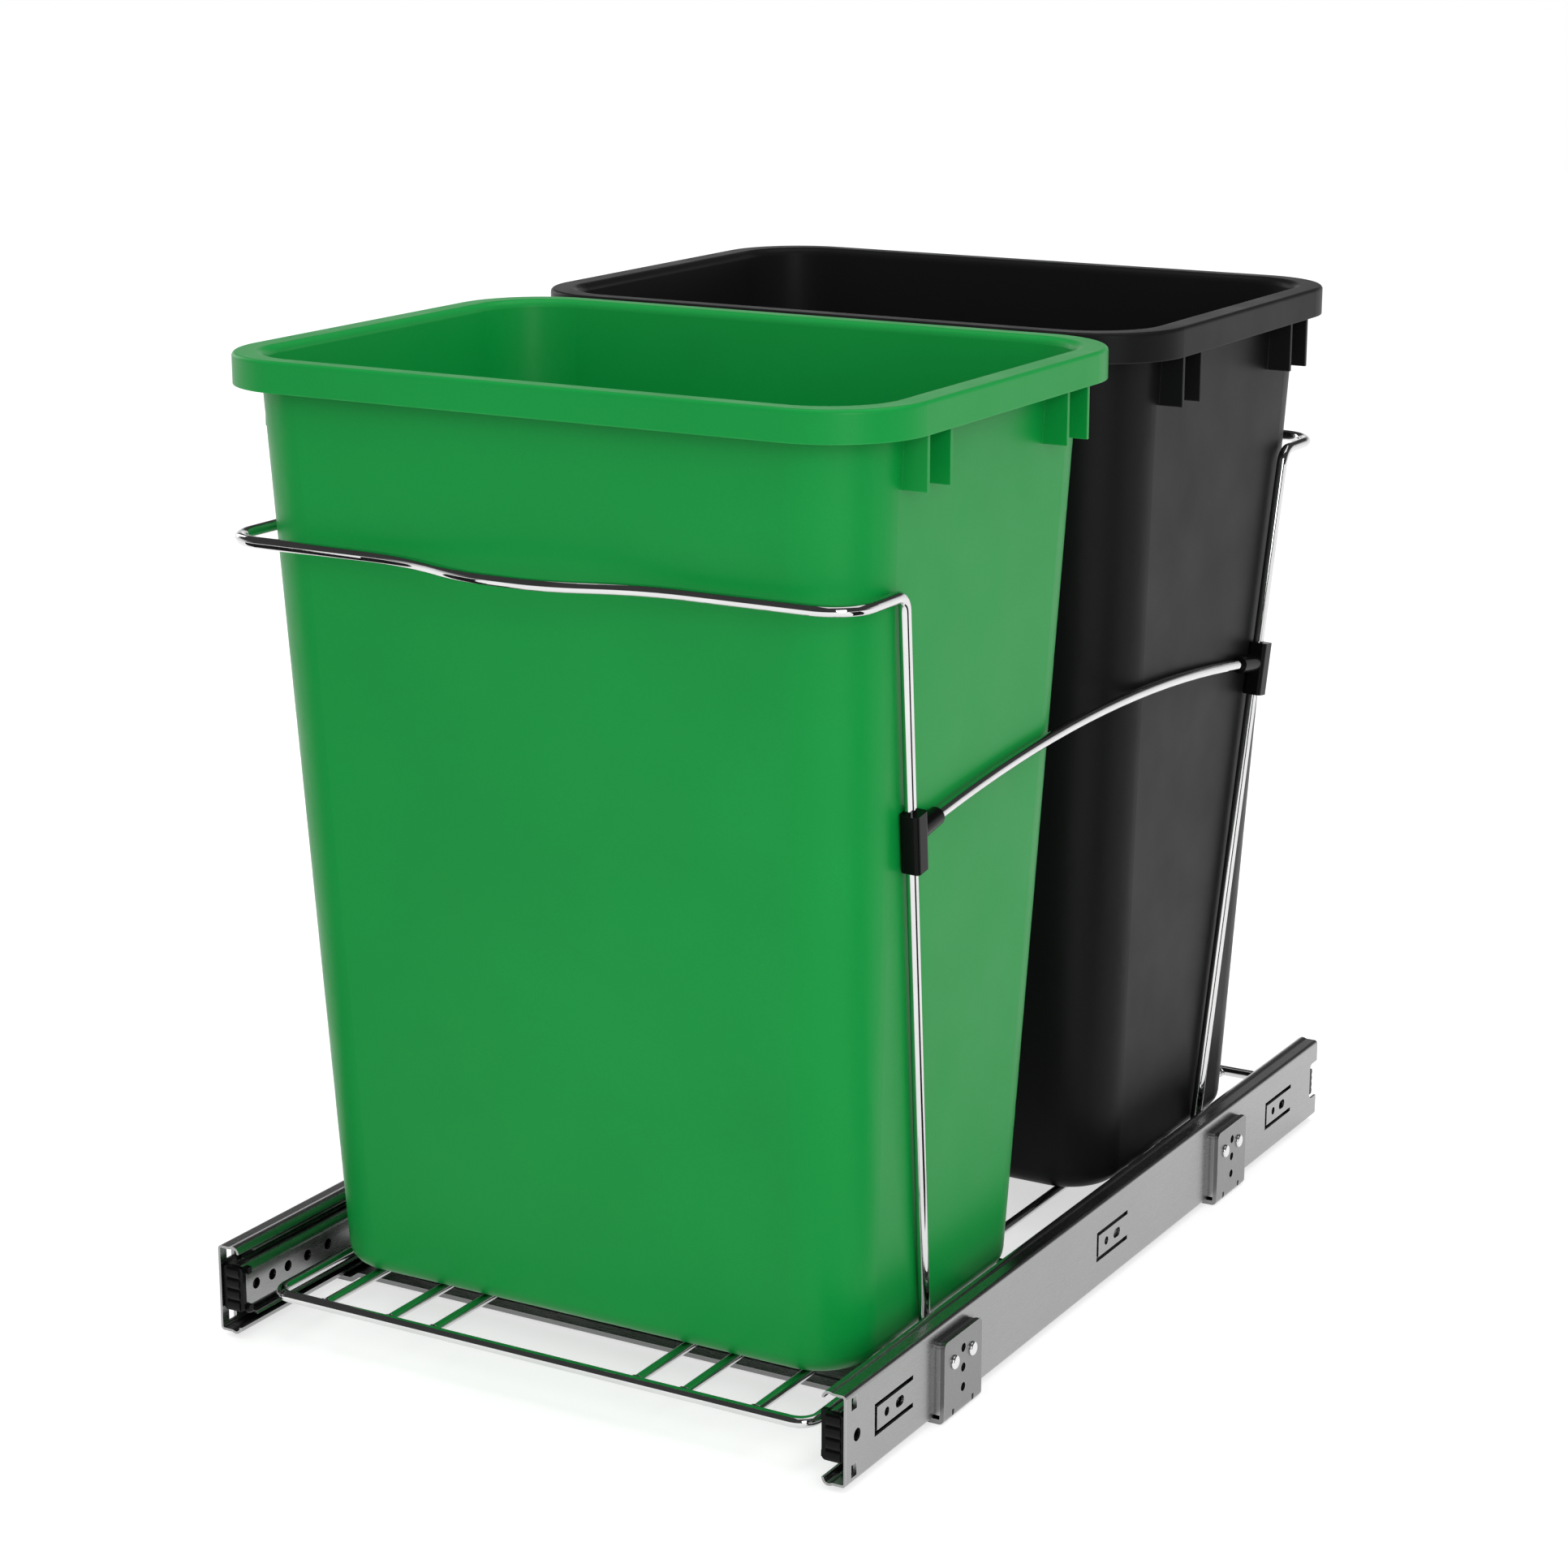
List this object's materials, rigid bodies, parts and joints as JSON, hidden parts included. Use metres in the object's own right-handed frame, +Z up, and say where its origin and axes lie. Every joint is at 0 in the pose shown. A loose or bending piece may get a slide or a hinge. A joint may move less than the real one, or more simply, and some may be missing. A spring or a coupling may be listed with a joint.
{
  "type": "pull out bin frame",
  "caption": "Pull-out wire bin frame on full-extension ball-bearing slides, with floor cross-bars and lift-out bins.",
  "frame": {"origin": "on the cabinet floor, midway between the slides and midway along them", "axes": "+X to the right seen from the pull end, +Y into the cabinet, +Z up; the carriage is pulled along -Y"},
  "size_m": [0.3672, 0.5623, 0.4873],
  "materials": {
    "slide_steel": "bright zinc, satin",
    "cage_steel": "satin",
    "ball_steel": "polished",
    "cross_bar_steel": "bright zinc",
    "rivet_steel": "bright zinc",
    "chrome_wire": "bright chrome plating",
    "bracket_steel": "chrome plating",
    "black_fittings": "satin moulded",
    "green_bin": "satin moulded",
    "black_bin": "satin moulded"
  },
  "bodies": {
    "cabinet_side": {"left_cabinet_rail": "slide_steel", "right_cabinet_rail": "slide_steel", "left_rear_bumper": "black_fittings", "right_rear_bumper": "black_fittings", "front_cross_bar": "cross_bar_steel", "rear_cross_bar": "cross_bar_steel", "left_front_spacer": "cross_bar_steel", "left_rear_spacer": "cross_bar_steel", "right_front_spacer": "cross_bar_steel", "right_rear_spacer": "cross_bar_steel", "front_tab_rivets": "rivet_steel", "rear_tab_rivets": "rivet_steel"},
    "carriage": {"left_drawer_rail": "slide_steel", "right_drawer_rail": "slide_steel", "left_front_plug": "black_fittings", "right_front_plug": "black_fittings", "base_loop": "chrome_wire", "left_lengthwise_wire_1": "chrome_wire", "left_lengthwise_wire_2": "chrome_wire", "left_lengthwise_wire_3": "chrome_wire", "right_lengthwise_wire_1": "chrome_wire", "right_lengthwise_wire_2": "chrome_wire", "right_lengthwise_wire_3": "chrome_wire", "crosswise_wire_1": "chrome_wire", "crosswise_wire_2": "chrome_wire", "crosswise_wire_3": "chrome_wire", "crosswise_wire_4": "chrome_wire", "front_hoop": "chrome_wire", "rear_hoop": "chrome_wire", "left_side_arch": "chrome_wire", "right_side_arch": "chrome_wire", "left_front_connector": "black_fittings", "left_rear_connector": "black_fittings", "right_front_connector": "black_fittings", "right_rear_connector": "black_fittings", "left_front_bracket": "bracket_steel", "left_rear_bracket": "bracket_steel", "right_front_bracket": "bracket_steel", "right_rear_bracket": "bracket_steel", "bracket_screws": "rivet_steel"},
    "left_middle_rail": {"left_middle_rail": "slide_steel"},
    "left_outer_cage": {"left_outer_ball_cage": "cage_steel", "left_outer_balls": "ball_steel"},
    "left_inner_cage": {"left_inner_ball_cage": "cage_steel", "left_inner_balls": "ball_steel"},
    "right_middle_rail": {"right_middle_rail": "slide_steel"},
    "right_outer_cage": {"right_outer_ball_cage": "cage_steel", "right_outer_balls": "ball_steel"},
    "right_inner_cage": {"right_inner_ball_cage": "cage_steel", "right_inner_balls": "ball_steel"},
    "front_bin": {"front_bin": "green_bin"},
    "rear_bin": {"rear_bin": "black_bin"}
  },
  "joints": [
    {"name": "carriage_slide", "type": "slide", "parent": "cabinet_side", "child": "carriage", "axis": [0, -1, 0], "range_m": [0, 0.55]},
    {"name": "left_middle_rail_slide", "type": "slide", "parent": "cabinet_side", "child": "left_middle_rail", "axis": [0, -1, 0], "range_m": [0, 0.2751]},
    {"name": "left_outer_cage_slide", "type": "slide", "parent": "cabinet_side", "child": "left_outer_cage", "axis": [0, -1, 0], "range_m": [0, 0.1376]},
    {"name": "left_inner_cage_slide", "type": "slide", "parent": "cabinet_side", "child": "left_inner_cage", "axis": [0, -1, 0], "range_m": [0, 0.4126]},
    {"name": "right_middle_rail_slide", "type": "slide", "parent": "cabinet_side", "child": "right_middle_rail", "axis": [0, -1, 0], "range_m": [0, 0.2751]},
    {"name": "right_outer_cage_slide", "type": "slide", "parent": "cabinet_side", "child": "right_outer_cage", "axis": [0, -1, 0], "range_m": [0, 0.1376]},
    {"name": "right_inner_cage_slide", "type": "slide", "parent": "cabinet_side", "child": "right_inner_cage", "axis": [0, -1, 0], "range_m": [0, 0.4126]},
    {"name": "front_bin_lift", "type": "slide", "parent": "carriage", "child": "front_bin", "axis": [0, 0, 1], "range_m": [0, 0.5]},
    {"name": "rear_bin_lift", "type": "slide", "parent": "carriage", "child": "rear_bin", "axis": [0, 0, 1], "range_m": [0, 0.5]}
  ],
  "couplings": [
    {"joint": "left_middle_rail_slide", "follows": "carriage_slide", "ratio": 0.5},
    {"joint": "left_outer_cage_slide", "follows": "carriage_slide", "ratio": 0.25},
    {"joint": "left_inner_cage_slide", "follows": "carriage_slide", "ratio": 0.75},
    {"joint": "right_middle_rail_slide", "follows": "carriage_slide", "ratio": 0.5},
    {"joint": "right_outer_cage_slide", "follows": "carriage_slide", "ratio": 0.25},
    {"joint": "right_inner_cage_slide", "follows": "carriage_slide", "ratio": 0.75}
  ]
}
